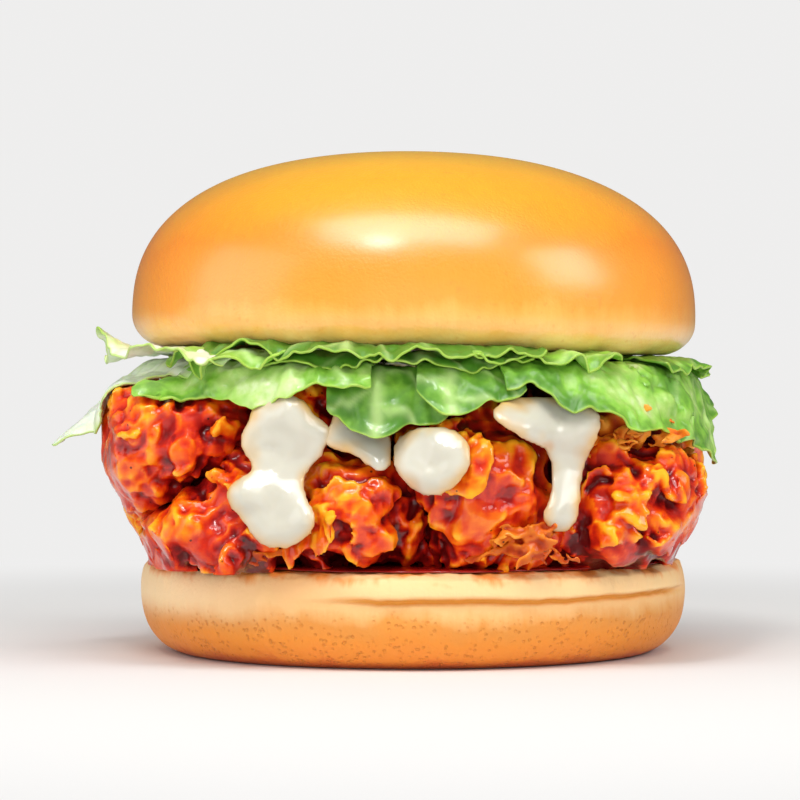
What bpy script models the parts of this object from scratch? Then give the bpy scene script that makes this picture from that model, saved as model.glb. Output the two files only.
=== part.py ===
"""Chicken burger: a glazed bun crown and heel around sauced fried chicken, lettuce and mayonnaise.

Run with: blender --background --python part.py
Metres, +Z up. The origin is the middle of the heel's flat base, and the front of the burger faces -Y.
Azimuths are degrees about +Z from +X, so 180 is the left side, 270 the front and 0 the right side.
"""

import math

import bmesh
import bpy
from mathutils import Vector, noise
from mathutils.bvhtree import BVHTree

MM = 0.001
GAP = 0.3 * MM  # air between pieces that rest on each other

# Bun
CROWN_RADIUS = 53.9 * MM
CROWN_BASE_Z = 56.2 * MM
CROWN_WIDEST_Z = 62.5 * MM
CROWN_TOP_Z = 94.2 * MM
CROWN_TILT = math.radians(1.0)  # the crown leans down to the right
CROWN_RIM_INSET = 6.5 * MM
DOME_POWER = 2.4  # superellipse: 2 is a round dome, higher is squarer
HEEL_RADIUS = 51.8 * MM
HEEL_BELLY_Z = 11.5 * MM
HEEL_TOP_Z = 17.2 * MM
HEEL_TOP_INSET = 2.0 * MM
HEEL_BASE_INSET = 8.5 * MM
TURN_STEPS = 44

# Chicken: the layer lies between the heel and the lettuce
CHICKEN_FLOOR_Z = HEEL_TOP_Z + GAP
CHICKEN_CEILING_Z = 50.6 * MM
CHUNK_POWER = 2.6  # 2 is an ellipsoid, higher fills its box better
PRESS_POWER = 9  # how tightly a pressed side turns its corner, higher is sharper
LUMP_SHARE = 0.13  # how far the lumps stand out, as a share of the piece's radius
LUMPS_ROUND = 1.9
KNOB_SHARE = 0.07
KNOBS_ROUND = 4.6
CHUNK_SUBDIVISIONS = 3

# name: (centre, half sizes) in millimetres
CHUNKS = {
    "front_left_upper": ((-40, -21, 39), (17, 22, 14)),
    "front_left_lower": ((-31, -23, 25), (20, 25, 12)),
    "front_middle_upper": ((-15, -20, 43), (16, 26, 11)),
    "front_middle_lower": ((-11, -26, 27), (14, 25, 13)),
    "front_centre": ((10.5, -24, 31), (18.5, 28, 16)),
    "top_centre": ((9, -12, 46), (17, 27, 8)),
    "front_right_lower": ((35, -22, 26.5), (16, 24, 13)),
    "front_right_upper": ((34, -16, 42.5), (16, 23, 9.5)),
    "right_middle": ((34, 5, 32), (21, 18, 18)),
    "back_right": ((26, 28, 33), (23, 24, 19)),
    "back_middle": ((-3, 29, 32), (20, 25, 19)),
    "back_left": ((-31, 23, 36), (23, 25, 18)),
    "left_middle": ((-36, 2, 28), (18, 19, 13)),
}

# Lettuce
LEAF_THICKNESS = 0.9 * MM
LEAF_LIFT = 2.1 * MM  # from the chicken to the middle of a leaf
LEAF_INNER_RADIUS = 14 * MM
LEAF_SHOULDER_RADIUS = 43 * MM
LEAF_ROWS = 8
LEAF_DEGREES_PER_COLUMN = 5.5
LEAF_NOTCH_SHARE = 0.035
TONGUE_SPREAD = 9  # degrees
DRAPE_CENTRE = Vector((0, 0, 44 * MM))
DRAPE_SPREAD = 0.07

# name: azimuth from, to, bed height, rim radius, drop of the rim, ruffle height (mm), ruffles around,
# tongue (azimuth, reach mm, drop mm)
LEAVES = {
    "left": (160, 221, 54.7, 55, 4.5, 1.8, 9, (184, 14, 9)),
    "front_left": (223.5, 259, 52.8, 54, 5.2, 1.1, 10, (238, 1, 1)),
    "centre": (261.5, 291, 52.8, 53, 10.5, 1.1, 9, (272, 1, 1)),
    "right": (293.5, 377, 54.4, 55, 13.0, 1.8, 8, (350, 3, 4)),
    "back_right": (379.5, 447, 54.7, 54, 8.5, 1.8, 9, (412, 3, 2)),
    "back_left": (449.5, 517.5, 54.7, 54, 9.5, 1.8, 9, (490, 2, 2)),
}
FRILL = (225, 289, 51.5)  # azimuth from, to, reach in millimetres
FRILL_Z = 54.7 * MM
FRILL_HEIGHT = 0.8 * MM
FRILL_RUFFLES = 15

# Mayonnaise
MAYO_LIFT = 1.0 * MM  # from the chicken to the back of the sauce
MAYO_ROWS = 11
MAYO_SIDES = 14
MAYO_DEEPEST = 6 * MM  # how far the back may dip into a gap between two pieces
MAYO_EDGE_SHARE = 0.3
CLEAR_STEPS = (-2, -1, 0, 1, 2)
CLEAR_DEGREES = 2.6
CLEAR_RISE = 1.7 * MM

# name: azimuth, thickness in mm, outline stations (height, left edge, right edge) in mm from top to bottom
MAYO = {
    "left": (246.3, 4.2, ((44.4, -1, 4), (42.2, -6, 8), (38.7, -5.8, 7), (36, -4.5, 4.4),
                          (31.6, -8.2, 4.4), (27, -4.5, 6.6), (23.7, -2.8, 5.3), (22, 0, 2.5))),
    "middle": (260.3, 2.2, ((45, -2.5, 1.5), (42.5, -3.4, 3), (39.5, -3, 4.6), (36, 1.5, 5.6), (34.5, 3, 5))),
    "centre": (273.5, 4.2, ((38.6, -3.6, 3), (37.4, -6, 6), (35.4, -6.2, 5.8), (33, -3.2, 3.2), (31.6, -1, 1.4))),
    "right": (298, 4.2, ((43.6, -7, -2), (42, -9.2, 3.6), (39.6, -7, 7), (36.4, -2.2, 6), (32, -0.9, 4.6),
                         (27.2, -1.2, 4.2), (24.8, 0.8, 2.6))),
}


def linear(red, green, blue):
    """An sRGB colour out of 255 as linear values."""
    shares = (red / 255, green / 255, blue / 255)
    return tuple(c / 12.92 if c <= 0.04045 else ((c + 0.055) / 1.055) ** 2.4 for c in shares)


def material(name, colour, roughness):
    made = bpy.data.materials.new(name)
    made.use_nodes = True
    shader = made.node_tree.nodes["Principled BSDF"]
    shader.inputs["Base Color"].default_value = (*linear(*colour), 1)
    shader.inputs["Roughness"].default_value = roughness
    made.diffuse_color = (*linear(*colour), 1)
    return made


def add_object(name, mesh, collection, finish):
    mesh.materials.append(finish)
    made = bpy.data.objects.new(name, mesh)
    collection.objects.link(made)
    return made


def mesh_from(bm, name):
    mesh = bpy.data.meshes.new(name)
    bm.to_mesh(mesh)
    bm.free()
    mesh.shade_smooth()
    return mesh


def turned(name, outline, collection, finish):
    """A solid of revolution about Z. The outline runs from the axis at the top to the axis at the base."""
    mesh = bpy.data.meshes.new(name)
    points = [(radius, 0, z) for radius, z in outline]
    mesh.from_pydata(points, [(i, i + 1) for i in range(len(points) - 1)], [])
    made = add_object(name, mesh, collection, finish)
    screw = made.modifiers.new("turn", "SCREW")
    screw.steps = TURN_STEPS
    screw.render_steps = TURN_STEPS
    screw.use_merge_vertices = True
    screw.merge_threshold = 0.00001
    screw.use_smooth_shade = True
    return made


# Bun ------------------------------------------------------------------------------------------------


def superellipse(half_width, half_height, power, steps):
    """Quarter outline from the top of the axis to the widest point."""
    points = []
    for i in range(steps + 1):
        angle = math.pi / 2 * (1 - i / steps)
        across = math.cos(angle) ** (2 / power)
        up = math.sin(angle) ** (2 / power)
        points.append((half_width * across, half_height * up))
    return points


def crown_outline():
    dome = superellipse(CROWN_RADIUS, CROWN_TOP_Z - CROWN_WIDEST_Z, DOME_POWER, 9)
    rim = superellipse(CROWN_RIM_INSET, CROWN_WIDEST_Z - CROWN_BASE_Z, 2, 4)
    outline = [(r, CROWN_WIDEST_Z + z) for r, z in dome]
    outline += [(CROWN_RADIUS - CROWN_RIM_INSET + r, CROWN_WIDEST_Z - z) for r, z in reversed(rim[:-1])]
    outline[0] = (0, CROWN_TOP_Z)
    return outline + [(0, CROWN_BASE_Z)]


def heel_outline():
    shoulder = superellipse(HEEL_TOP_INSET, HEEL_TOP_Z - HEEL_BELLY_Z, 2.2, 4)
    base = superellipse(HEEL_BASE_INSET, HEEL_BELLY_Z, 2.1, 5)
    inner = HEEL_RADIUS - HEEL_TOP_INSET
    outline = [(0, HEEL_TOP_Z)] + [(inner + r, HEEL_BELLY_Z + z) for r, z in shoulder]
    foot = HEEL_RADIUS - HEEL_BASE_INSET
    outline += [(foot + r, HEEL_BELLY_Z - z) for r, z in reversed(base[:-1])]
    return outline + [(0, 0)]


def make_bun(collection):
    turned("bun_heel", heel_outline(), collection, material("heel_crust", (246, 197, 130), 0.6))
    pivot = bpy.data.objects.new("crown_pivot", None)
    pivot.location = (0, 0, CROWN_BASE_Z)
    pivot.rotation_euler = (0, CROWN_TILT, 0)
    collection.objects.link(pivot)
    crown = turned("bun_crown", crown_outline(), collection, material("crown_crust", (250, 175, 62), 0.3))
    crown.location = (0, 0, -CROWN_BASE_Z)
    crown.parent = pivot


# Chicken --------------------------------------------------------------------------------------------


def reach(half_sizes, direction):
    """How far an ellipsoid's support extends along a unit direction."""
    return math.sqrt(sum((h * d) ** 2 for h, d in zip(half_sizes, direction)))


def chunk_limits(name):
    """Half spaces (outward normal, distance from the centre) that keep a chunk clear of what touches it."""
    centre, half_sizes = (Vector(v) * MM for v in CHUNKS[name])
    limits = [
        (Vector((0, 0, -1)), centre.z - CHICKEN_FLOOR_Z),
        (Vector((0, 0, 1)), CHICKEN_CEILING_Z - centre.z),
    ]
    for other, sizes in CHUNKS.items():
        if other == name:
            continue
        across = Vector(sizes[0]) * MM - centre
        direction = across.normalized()
        mine = reach(half_sizes, direction)
        theirs = reach(Vector(sizes[1]) * MM, direction)
        limits.append((direction, across.length * mine / (mine + theirs) - GAP / 2))
    return limits


def chunk_radius(direction, half_sizes, limits, seed):
    """Distance from a chunk's centre to its surface: a lumpy ellipsoid, flat where a neighbour presses on it."""
    filled = sum(abs(d / h) ** CHUNK_POWER for d, h in zip(direction, half_sizes))
    smooth = filled ** (-1 / CHUNK_POWER)
    lumps = LUMP_SHARE * noise.noise(direction * LUMPS_ROUND + seed)
    knobs = KNOB_SHARE * noise.noise(direction * KNOBS_ROUND + seed)
    packed = (smooth * (1 + lumps + knobs)) ** -PRESS_POWER
    for normal, distance in limits:
        facing = max(direction.dot(normal), 0)
        packed += (facing / distance) ** PRESS_POWER
    return packed ** (-1 / PRESS_POWER)


def make_chunk(name, seed, collection, finish):
    centre, half_sizes = (Vector(v) * MM for v in CHUNKS[name])
    limits = chunk_limits(name)
    bm = bmesh.new()
    bmesh.ops.create_icosphere(bm, subdivisions=CHUNK_SUBDIVISIONS, radius=1)
    for vertex in bm.verts:
        direction = vertex.co.normalized()
        vertex.co = centre + direction * chunk_radius(direction, half_sizes, limits, seed)
    return add_object("chicken_" + name, mesh_from(bm, name), collection, finish)


def make_chicken(collection):
    finish = material("sauced_crust", (238, 108, 34), 0.3)
    chunks = []
    for number, name in enumerate(CHUNKS):
        seed = Vector((3.1 * number + 0.7, 5.3, 1.9 * number))
        chunks.append(make_chunk(name, seed, collection, finish))
    return chunks


def surface_tree(objects):
    """One search tree of the faces of several meshes that sit where their vertices say."""
    vertices = []
    faces = []
    for obj in objects:
        start = len(vertices)
        vertices += [v.co.copy() for v in obj.data.vertices]
        faces += [[start + i for i in p.vertices] for p in obj.data.polygons]
    return BVHTree.FromPolygons(vertices, faces)


def outer_distance(tree, start, direction):
    """Distance from start to the outermost face along a unit direction, or 0 where there is none."""
    far = 0.2
    hit = tree.ray_cast(start + direction * far, -direction)
    return far - hit[3] if hit[3] is not None else 0


# Lettuce --------------------------------------------------------------------------------------------


def polar(azimuth, radius, z):
    angle = math.radians(azimuth)
    return Vector((radius * math.cos(angle), radius * math.sin(angle), z))


def leaning(point):
    """The point raised or lowered as the underside of the tilted crown is above it."""
    return point - Vector((0, 0, point.x * math.tan(CROWN_TILT)))


def draped(tree, point, lift):
    """The point moved out from the drape centre until it clears the chicken by lift, with a margin for coarse faces."""
    outward = point - DRAPE_CENTRE
    direction = outward.normalized()
    sideways = direction.cross(Vector((0, 0, 1))).normalized()
    upwards = sideways.cross(direction)
    near = [direction]
    for side, up in ((1, 0), (-1, 0), (0, 1), (0, -1)):
        near.append((direction + DRAPE_SPREAD * (side * sideways + up * upwards)).normalized())
    needed = max(outer_distance(tree, DRAPE_CENTRE, d) for d in near) + lift
    return DRAPE_CENTRE + direction * max(outward.length, needed)


def leaf_grid(columns, rows, place):
    """A sheet whose points come from place(u, v), with u across the leaf and v from its heart to its rim."""
    bm = bmesh.new()
    bmesh.ops.create_grid(bm, x_segments=columns, y_segments=rows, size=0.5)
    for vertex in bm.verts:
        vertex.co = place(vertex.co.x + 0.5, vertex.co.y + 0.5)
    return bm


def add_leaf(name, columns, place, collection, finish):
    bm = leaf_grid(columns, LEAF_ROWS, place)
    leaf = add_object("lettuce_" + name, mesh_from(bm, name), collection, finish)
    solidify = leaf.modifiers.new("thickness", "SOLIDIFY")
    solidify.thickness = LEAF_THICKNESS
    solidify.offset = 0
    return leaf


def draped_leaf(name, tree, collection, finish):
    start, end, *sizes, ruffles, (tongue_azimuth, tongue, tongue_drop) = LEAVES[name]
    bed, rim, drop, height = (size * MM for size in sizes)

    def place(u, v):
        azimuth = start + u * (end - start)
        lean = math.exp(-(((azimuth - tongue_azimuth) / TONGUE_SPREAD) ** 2))
        notches = noise.noise(Vector((azimuth / 8, start, 0)))
        reach_out = rim * (1 + LEAF_NOTCH_SHARE * notches) + tongue * MM * lean
        side = math.sin(math.pi * u) ** 0.8  # the leaf hangs less towards its two sides
        radius = LEAF_INNER_RADIUS + (reach_out - LEAF_INNER_RADIUS) * v
        hang = max(0, (radius - LEAF_SHOULDER_RADIUS) / (reach_out - LEAF_SHOULDER_RADIUS))
        fall = drop * (0.35 + 0.65 * side) + tongue_drop * MM * lean
        z = bed - fall * hang**2 + height * hang**2 * math.sin(math.radians(ruffles * azimuth))
        radius += 0.6 * height * hang * math.cos(math.radians(1.7 * ruffles * azimuth))
        return draped(tree, leaning(polar(azimuth, radius, z)), LEAF_LIFT)

    columns = round((end - start) / LEAF_DEGREES_PER_COLUMN)
    return add_leaf(name, columns, place, collection, finish)


def make_lettuce(tree, collection):
    finish = material("lettuce", (146, 196, 84), 0.4)
    leaves = [draped_leaf(name, tree, collection, finish) for name in LEAVES]
    start, end, rim = FRILL

    def place(u, v):
        azimuth = start + u * (end - start)
        radius = LEAF_INNER_RADIUS + (rim * MM - LEAF_INNER_RADIUS) * v
        wave = math.sin(math.radians(FRILL_RUFFLES * azimuth))
        return leaning(polar(azimuth, radius, FRILL_Z + FRILL_HEIGHT * v**2 * wave))

    columns = round((end - start) / LEAF_DEGREES_PER_COLUMN)
    leaves.append(add_leaf("frill", columns, place, collection, finish))
    return leaves


# Mayonnaise -----------------------------------------------------------------------------------------


def outline_at(stations, share):
    """(height, left, right) at a share of the way down an outline, eased between its stations."""
    place = share * (len(stations) - 1)
    index = min(int(place), len(stations) - 2)
    rest = place - index
    above, below = stations[index], stations[index + 1]
    return [a + (b - a) * rest for a, b in zip(above, below)]


def clear_radius(tree, azimuth, z):
    """Radius that clears the chicken around this azimuth and height."""
    reaches = []
    for turn in CLEAR_STEPS:
        for rise in CLEAR_STEPS:
            level = Vector((0, 0, z + rise * CLEAR_RISE))
            reaches.append(outer_distance(tree, level, polar(azimuth + turn * CLEAR_DEGREES, 1, 0)))
    return max(reaches)


def soft_radius(tree, azimuth, z, least):
    """The same, averaged over a smaller window, so it still clears the chicken but has no steps."""
    total = 0
    for turn in CLEAR_STEPS:
        for rise in CLEAR_STEPS:
            beside = azimuth + turn * CLEAR_DEGREES * 0.8
            total += max(clear_radius(tree, beside, z + rise * CLEAR_RISE * 0.8), least)
    return total / len(CLEAR_STEPS) ** 2


def make_drop(name, tree, collection, finish):
    """A drop of sauce lying on the chicken: a bulged front, a back that follows the chicken, and a thin edge."""
    azimuth, thickness, stations = MAYO[name]
    girth = max(clear_radius(tree, azimuth, height * MM) for height, left, right in stations)

    def place(share, side, front):
        height, left, right = outline_at(stations, share)
        across = (left + right) / 2 + (right - left) / 2 * side
        turned = azimuth + math.degrees(across * MM / girth)
        back = soft_radius(tree, turned, height * MM, girth - MAYO_DEEPEST) + MAYO_LIFT
        roundness = math.sqrt(max(0, 1 - side**2)) * math.sin(math.pi * share) ** 0.5
        bulge = (MAYO_EDGE_SHARE + (1 - MAYO_EDGE_SHARE) * roundness) * thickness * MM
        return polar(turned, back + (bulge if front else 0), height * MM)

    bm = bmesh.new()
    loops = []
    for row in range(MAYO_ROWS):
        share = row / (MAYO_ROWS - 1)
        half = MAYO_SIDES // 2
        sides = [2 * i / (half - 1) - 1 for i in range(half)]
        loop = [bm.verts.new(place(share, side, True)) for side in sides]
        loop += [bm.verts.new(place(share, side, False)) for side in reversed(sides)]
        loops.append(loop)
    for above, below in zip(loops, loops[1:]):
        for i in range(MAYO_SIDES):
            after = (i + 1) % MAYO_SIDES
            bm.faces.new((above[i], below[i], below[after], above[after]))
    bm.faces.new(loops[0])
    bm.faces.new(reversed(loops[-1]))
    bmesh.ops.triangulate(bm, faces=[f for f in bm.faces if len(f.verts) > 4])
    bmesh.ops.recalc_face_normals(bm, faces=bm.faces)
    return add_object("mayo_" + name, mesh_from(bm, name), collection, finish)


def main():
    for obj in list(bpy.data.objects):
        bpy.data.objects.remove(obj)
    collection = bpy.data.collections.new("chicken_burger")
    bpy.context.scene.collection.children.link(collection)
    make_bun(collection)
    chunks = make_chicken(collection)
    tree = surface_tree(chunks)
    make_lettuce(tree, collection)
    mayo_finish = material("mayonnaise", (240, 238, 222), 0.2)
    for name in MAYO:
        make_drop(name, tree, collection, mayo_finish)


main()
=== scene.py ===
# %% [markdown]
# # A chicken burger, looks and light
#
# The solids of this burger are already built and packed: a bun crown, a heel, thirteen pieces of chicken,
# seven leaves of lettuce and four runs of mayonnaise. They are right in size and place but coarse. Here each
# one is replaced by a finely shaped piece with a finish of its own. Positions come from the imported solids, so
# nothing has to be fitted afterwards. Everything is in metres with +Z up, and the front faces -Y.

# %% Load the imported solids
import itertools
import math

import bpy
import numpy as np
from mathutils import Matrix, Vector
from mathutils.bvhtree import BVHTree


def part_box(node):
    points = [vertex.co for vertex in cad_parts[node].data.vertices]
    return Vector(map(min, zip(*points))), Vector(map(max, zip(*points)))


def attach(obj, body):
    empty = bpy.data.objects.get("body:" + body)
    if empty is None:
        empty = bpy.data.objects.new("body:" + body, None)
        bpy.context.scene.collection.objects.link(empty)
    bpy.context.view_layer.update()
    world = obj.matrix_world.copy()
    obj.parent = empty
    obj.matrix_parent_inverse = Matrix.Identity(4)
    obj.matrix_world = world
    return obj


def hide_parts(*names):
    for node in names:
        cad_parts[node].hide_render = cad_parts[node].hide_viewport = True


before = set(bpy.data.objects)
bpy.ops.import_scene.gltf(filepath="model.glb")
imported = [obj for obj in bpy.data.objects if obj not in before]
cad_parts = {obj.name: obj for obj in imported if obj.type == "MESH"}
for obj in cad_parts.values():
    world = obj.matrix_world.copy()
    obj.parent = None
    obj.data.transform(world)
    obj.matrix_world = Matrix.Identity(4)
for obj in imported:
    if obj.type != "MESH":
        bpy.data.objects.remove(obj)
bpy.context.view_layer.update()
MM = 0.001

# %% [markdown]
# ## Camera and light
#
# The burger is seen almost level with its filling, from far enough away that the bun hardly tapers. A long
# lens does that. Colours are judged under white lamps and the Standard view, so that cream stays cream. One
# wide lamp hangs over the front and draws the broad shine on the crown, and others stand at the right, for the
# smaller shine there, and at the left. A small one adds sparks to the sauce, and a low one fills the shadows.

# %% Camera
EYE = Vector((-0.0025, -0.600, 0.051))
LENS = 142.1
SENSOR = 36.0
LOOK_DOWN = math.radians(0.363)

camera_data = bpy.data.cameras.new("eye")
camera_data.lens = LENS
camera_data.sensor_width = SENSOR
camera = bpy.data.objects.new("eye", camera_data)
camera.location = EYE
camera.rotation_euler = (math.pi / 2 - LOOK_DOWN, 0, 0)
bpy.context.scene.collection.objects.link(camera)
bpy.context.scene.camera = camera
bpy.context.scene.view_settings.view_transform = "Standard"
print("camera at", tuple(EYE))


# %% Lamps
def soft_lamp(name, place, target, width, depth, power):
    """A white lamp of a width and a depth at a place, turned to face a target."""
    lamp_data = bpy.data.lights.new(name, "AREA")
    lamp_data.shape = "RECTANGLE"
    lamp_data.size = width
    lamp_data.size_y = depth
    lamp_data.energy = power
    lamp = bpy.data.objects.new(name, lamp_data)
    lamp.location = place
    lamp.rotation_euler = (Vector(target) - Vector(place)).to_track_quat("-Z", "Y").to_euler()
    bpy.context.scene.collection.objects.link(lamp)
    return lamp


MIDDLE = (0, 0, 0.05)
soft_lamp("over_front", (-0.02, -0.26, 0.62), MIDDLE, 0.62, 0.30, 2.85)
soft_lamp("right_side", (0.55, -0.22, 0.36), MIDDLE, 0.30, 0.30, 1.2)
soft_lamp("left_side", (-0.60, -0.16, 0.24), MIDDLE, 0.50, 0.50, 1.0)
soft_lamp("spark", (-0.12, -0.40, 0.56), MIDDLE, 0.10, 0.10, 0.8)
low_front = soft_lamp("low_front", (0.02, -0.75, 0.04), MIDDLE, 0.70, 0.50, 3.1)
low_front.visible_glossy = False  # fills shadows without laying a grey mirror image over the wet sauce


# %% [markdown]
# ## Shader maths
#
# A finish is a tree of nodes. Wiring one by hand hides the idea, so a small class wraps a socket and lets
# ordinary arithmetic put down the Math nodes: `1 - mask` or `height * 3`. Colours go through a Mix node,
# because a Math node would turn them grey. All other nodes come from one method.

# %% The finish class
def linear(red, green, blue):
    """An sRGB colour out of 255 as linear values."""
    shares = (red / 255, green / 255, blue / 255)
    return tuple(c / 12.92 if c <= 0.04045 else ((c + 0.055) / 1.055) ** 2.4 for c in shares) + (1,)


class Value:
    """One output socket. Arithmetic on it adds a Math node to its tree."""

    def __init__(self, finish, socket):
        self.finish = finish
        self.socket = socket

    def maths(self, operation, *values):
        return self.finish.node("ShaderNodeMath", {"operation": operation}, dict(enumerate(values)))

    def __add__(self, other):
        return self.maths("ADD", self, other)

    def __sub__(self, other):
        return self.maths("SUBTRACT", self, other)

    def __rsub__(self, other):
        return self.maths("SUBTRACT", other, self)

    def __mul__(self, other):
        return self.maths("MULTIPLY", self, other)

    __radd__ = __add__
    __rmul__ = __mul__

    def between(self, low, high):
        """0 below low, 1 above high, and an eased climb between them."""
        settings = {"interpolation_type": "SMOOTHSTEP"}
        sockets = {"Value": self, "From Min": low, "From Max": high}
        return self.finish.node("ShaderNodeMapRange", settings, sockets)


class Finish:
    """A material with one Principled shader, and the ways to feed it."""

    def __init__(self, name, **constants):
        self.material = bpy.data.materials.new(name)
        self.material.use_nodes = True
        self.tree = self.material.node_tree
        self.shader = self.tree.nodes["Principled BSDF"]
        for socket, value in constants.items():
            self.shader.inputs[socket.replace("_", " ")].default_value = value
        self.place = self.node("ShaderNodeTexCoord", output="Object")

    def node(self, kind, settings=None, sockets=None, output=0):
        """Adds a node, sets its settings, then gives its sockets values or links."""
        made = self.tree.nodes.new(kind)
        for setting, value in (settings or {}).items():
            if setting == "stops":
                self.set_stops(made.color_ramp, value)
            else:
                setattr(made, setting, value)
        for socket, value in (sockets or {}).items():
            self.join(value, made.inputs[socket])
        return Value(self, made.outputs[output])

    def join(self, value, socket):
        if isinstance(value, Value):
            self.tree.links.new(value.socket, socket)
        else:
            socket.default_value = value

    def set_stops(self, ramp, stops):
        """Stops are (position, sRGB colour out of 255)."""
        while len(ramp.elements) < len(stops):
            ramp.elements.new(0.5)
        for element, (position, colour) in zip(ramp.elements, stops):
            element.position = position
            element.color = linear(*colour)

    def feed(self, **values):
        for socket, value in values.items():
            self.join(value, self.shader.inputs[socket.replace("_", " ")])

    def axes(self):
        """The object coordinates as three values."""
        made = self.node("ShaderNodeSeparateXYZ", sockets={"Vector": self.place})
        return [Value(self, output) for output in made.socket.node.outputs]

    def noise(self, size, detail=2.0, stretch=(1, 1, 1), shift=0.0):
        """Noise from 0 to 1 whose blots are about size metres across; stretch lengthens them along an axis."""
        scale = [1 / (size * s) for s in stretch]
        spot = self.node("ShaderNodeMapping", sockets={0: self.place, 1: (shift, shift, shift), 3: scale})
        sockets = {"Vector": spot, "Scale": 1.0, "Detail": detail, "Roughness": 0.5}
        return self.node("ShaderNodeTexNoise", {"noise_dimensions": "3D"}, sockets)

    def cells(self, size, shift=0.0):
        """Distance to the nearest of points scattered about size metres apart, in shares of that size."""
        spot = self.node("ShaderNodeMapping", sockets={0: self.place, 1: (shift, shift, shift), 3: [1 / size] * 3})
        return self.node("ShaderNodeTexVoronoi", {"feature": "F1"}, {"Vector": spot, "Scale": 1.0})

    def attribute(self, name):
        return self.node("ShaderNodeAttribute", {"attribute_name": name}, output="Fac")

    def blend(self, share, first, second):
        """Colour that goes from first to second as share goes from 0 to 1."""
        return self.node("ShaderNodeMix", {"data_type": "RGBA"}, {0: share, 6: first, 7: second}, output=2)

    def ramp(self, value, stops):
        return self.node("ShaderNodeValToRGB", {"stops": stops}, {"Fac": value})

    def bump(self, height, distance):
        """Relief: height from 0 to 1 stands for distance metres."""
        sockets = {"Height": height, "Distance": distance, "Strength": 1.0}
        self.feed(Normal=self.node("ShaderNodeBump", sockets=sockets))


# %% [markdown]
# ## Stage
#
# The floor and the backdrop are one large pale plane and a pale world. The camera sees the world as nearly
# white, while the light it sheds on the food stays moderate, and shiny things mirror a room that is darker still.

# %% Floor
BACKDROP = (0.86, 0.855, 0.85, 1)
FADE_FROM = 0.11
FADE_TO = 0.30


def seen_rays(finish):
    """1 for rays of the camera, straight or through something clear, and 0 for light on the food."""
    rays = finish.node("ShaderNodeLightPath").socket.node.outputs
    return Value(finish, rays["Is Camera Ray"]) + Value(finish, rays["Is Transmission Ray"])


bpy.ops.object.select_all(action="DESELECT")
bpy.ops.mesh.primitive_plane_add(size=40, location=(0, 0, 0))
floor = bpy.context.object
floor.name = "floor"
ground = Finish("floor", Base_Color=linear(226, 225, 223), Roughness=0.85)
away = ground.node("ShaderNodeVectorMath", {"operation": "LENGTH"}, {0: ground.place}, output="Value")
paper = ground.node("ShaderNodeEmission", sockets={"Color": BACKDROP, "Strength": 1.0})
share = away.between(FADE_FROM, FADE_TO) * seen_rays(ground)
both = {0: share, 1: Value(ground, ground.shader.outputs[0]), 2: paper}
mixed = ground.node("ShaderNodeMixShader", sockets=both)
ground.tree.links.new(mixed.socket, ground.tree.nodes["Material Output"].inputs["Surface"])
floor.data.materials.append(ground.material)

# %% World
ROOM_LIGHT = 0.36
MIRRORED_SHARE = 0.35  # of the room light, what shiny things reflect: a dark room keeps colours deep

world = bpy.data.worlds.new("pale_room")
bpy.context.scene.world = world
world.use_nodes = True
nodes, links = world.node_tree.nodes, world.node_tree.links
rays = nodes.new("ShaderNodeLightPath")
dimmer = nodes.new("ShaderNodeMapRange")
dimmer.inputs["To Min"].default_value = ROOM_LIGHT
dimmer.inputs["To Max"].default_value = ROOM_LIGHT * MIRRORED_SHARE
links.new(rays.outputs["Is Glossy Ray"], dimmer.inputs["Value"])
room = nodes.new("ShaderNodeBackground")
room.inputs["Color"].default_value = (1, 1, 1, 1)
links.new(dimmer.outputs[0], room.inputs["Strength"])
sky = nodes["Background"]
sky.inputs["Color"].default_value = BACKDROP
sky.inputs["Strength"].default_value = 1.0
either = nodes.new("ShaderNodeMath")
either.operation = "MAXIMUM"
links.new(rays.outputs["Is Camera Ray"], either.inputs[0])
links.new(rays.outputs["Is Transmission Ray"], either.inputs[1])
choose = nodes.new("ShaderNodeMixShader")
links.new(either.outputs[0], choose.inputs[0])
links.new(room.outputs[0], choose.inputs[1])
links.new(sky.outputs[0], choose.inputs[2])
links.new(choose.outputs[0], nodes["World Output"].inputs["Surface"])
print("room light", ROOM_LIGHT, "of which mirrored", MIRRORED_SHARE)


# %% [markdown]
# ## Ways to shape a piece
#
# Bread and batter have no straight lines, so after a piece has its rough form it is pushed in and out by
# smooth noise, many small moves in code in place of many strokes of a sculpting brush. The noise is written
# here with numpy so that a hundred thousand points take a moment and come out the same each time.

# %% Noise for shapes
CORNERS = [np.array(corner) for corner in itertools.product((0, 1), repeat=3)]
PRIMES = np.array([73856093, 19349663, 83492791], dtype=np.int64)


def noise_at(points, size, seed=0):
    """Smooth noise from about -1 to 1, one value a point, with bumps about size metres apart."""
    spots = np.asarray(points) / size + seed * 7.31
    cell = np.floor(spots).astype(np.int64)
    part = spots - cell
    ease = part**3 * (part * (part * 6 - 15) + 10)
    total = np.zeros(len(spots))
    for corner in CORNERS:
        key = (cell + corner) @ PRIMES + seed * 977
        key = ((key ^ (key >> 13)) * 1274126177) & 0x7FFFFFFF
        key = ((key ^ (key >> 15)) * 668265263) & 0x7FFFFFFF
        slopes = np.stack([(key >> shift & 255) / 127.5 - 1 for shift in (0, 8, 16)], axis=1)
        weight = np.prod(np.where(corner, ease, 1 - ease), axis=1)
        total += weight * np.sum(slopes * (part - corner), axis=1)
    return total * 1.4


def noises_at(points, size, seed):
    """Three independent noises, as a vector for each point."""
    return np.stack([noise_at(points, size, seed + i) for i in range(3)], axis=1)


# %% Points of a mesh in and out of numpy
def points_of(piece):
    points = np.empty(len(piece.data.vertices) * 3)
    piece.data.vertices.foreach_get("co", points)
    return points.reshape(-1, 3)


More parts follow.
